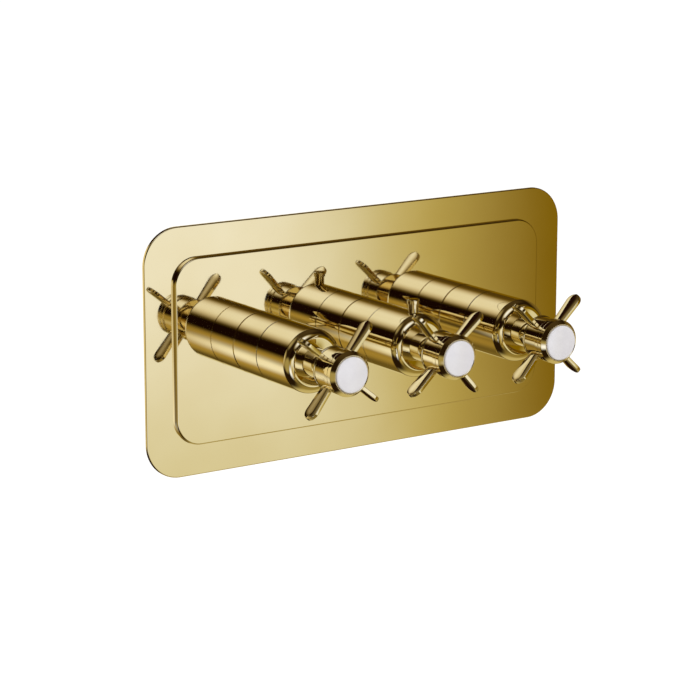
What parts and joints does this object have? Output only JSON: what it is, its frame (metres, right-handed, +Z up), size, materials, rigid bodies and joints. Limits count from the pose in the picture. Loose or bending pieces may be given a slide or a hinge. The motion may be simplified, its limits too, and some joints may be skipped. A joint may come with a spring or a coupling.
{
  "type": "shower valve",
  "caption": "Concealed shower valve: gold cover plate with a raised panel, crosshead controls on round barrels with porcelain discs, and a temperature stop button.",
  "frame": {"origin": "centre of the wall fixing holes, in the plane of the finished wall", "axes": "+X to the right as seen from the front, -Y out of the wall towards the user, +Z up"},
  "size_m": [0.3, 0.1664, 0.149],
  "materials": {
    "polished_gold": "polished",
    "porcelain": "glossy",
    "cast_brass": "cast",
    "machined_brass": "machined",
    "stainless_steel": "satin",
    "spring_steel": "drawn",
    "copper": "satin",
    "technical_ceramic": "lapped",
    "nylon": "moulded",
    "black_acetal": "moulded",
    "rubber": "matt"
  },
  "bodies": {
    "valve": {"cover_plate": "polished_gold", "plate_gasket": "rubber", "shroud_seals": "rubber", "guide_rings": "black_acetal", "valve_body": "cast_brass", "gallery_plugs": "machined_brass", "mounting_bracket": "stainless_steel", "bracket_screws": "stainless_steel", "gland_nuts": "machined_brass", "inlet_strainers": "stainless_steel", "check_valves": "nylon", "cartridge_orings": "rubber", "flow_cartridges": "machined_brass", "fixed_ceramics": "technical_ceramic", "flow_seals": "rubber", "thermostat_housing": "machined_brass", "return_spring": "spring_steel", "temperature_stop": "nylon", "base_shroud_left": "polished_gold", "base_shroud_temp": "polished_gold", "base_shroud_right": "polished_gold", "check_spring_hot": "spring_steel", "check_spring_cold": "spring_steel"},
    "left_handle": {"control_sleeve_left": "polished_gold", "handle_stem_left": "polished_gold", "crosshead_hub_left": "polished_gold", "spokes_left": "polished_gold", "index_bezel_left": "polished_gold", "porcelain_disc_left": "porcelain", "handle_screw_left": "stainless_steel", "spindle_left": "machined_brass", "spindle_clip_left": "stainless_steel", "moving_ceramic_left": "technical_ceramic"},
    "temperature_handle": {"control_sleeve_temp": "polished_gold", "handle_stem_temp": "polished_gold", "crosshead_hub_temp": "polished_gold", "spokes_temp": "polished_gold", "index_bezel_temp": "polished_gold", "porcelain_disc_temp": "porcelain", "handle_screw_temp": "stainless_steel", "spindle_temp": "machined_brass", "spindle_clip_temp": "stainless_steel", "button_spring": "spring_steel"},
    "right_handle": {"control_sleeve_right": "polished_gold", "handle_stem_right": "polished_gold", "crosshead_hub_right": "polished_gold", "spokes_right": "polished_gold", "index_bezel_right": "polished_gold", "porcelain_disc_right": "porcelain", "handle_screw_right": "stainless_steel", "spindle_right": "machined_brass", "spindle_clip_right": "stainless_steel", "moving_ceramic_right": "technical_ceramic"},
    "stop_button": {"stop_button": "polished_gold"},
    "thermostat_shuttle": {"thermostat_carriage": "machined_brass", "wax_element": "copper", "shuttle": "nylon"},
    "hot_poppet": {"check_poppet_hot": "nylon"},
    "cold_poppet": {"check_poppet_cold": "nylon"}
  },
  "joints": [
    {"name": "left_turn", "type": "hinge", "parent": "valve", "child": "left_handle", "pos_m": [-0.0742, 0, 0], "axis": [0, -1, 0], "range_deg": [0, 90]},
    {"name": "right_turn", "type": "hinge", "parent": "valve", "child": "right_handle", "pos_m": [0.0742, 0, 0], "axis": [0, -1, 0], "range_deg": [0, 90]},
    {"name": "temperature_turn", "type": "hinge", "parent": "valve", "child": "temperature_handle", "pos_m": [0, 0, 0], "axis": [0, -1, 0], "range_deg": [-180, 0]},
    {"name": "button_press", "type": "slide", "parent": "temperature_handle", "child": "stop_button", "axis": [0, 0, -1], "range_m": [0, 0.0025], "stiffness_N_per_m": 3600, "springref_m": -0.0005, "deforming": ["button_spring"]},
    {"name": "shuttle_slide", "type": "slide", "parent": "valve", "child": "thermostat_shuttle", "axis": [0, -1, 0], "range_m": [-0.003, 0], "deforming": ["return_spring"]},
    {"name": "hot_poppet_lift", "type": "slide", "parent": "valve", "child": "hot_poppet", "axis": [0, 0, 1], "range_m": [0, 0.0025], "stiffness_N_per_m": 150, "springref_m": -0.001, "deforming": ["check_spring_hot"]},
    {"name": "cold_poppet_lift", "type": "slide", "parent": "valve", "child": "cold_poppet", "axis": [0, 0, 1], "range_m": [0, 0.0025], "stiffness_N_per_m": 150, "springref_m": -0.001, "deforming": ["check_spring_cold"]}
  ],
  "couplings": [
    {"joint": "shuttle_slide", "follows": "temperature_turn", "m_per_rad": 0.00095492}
  ]
}
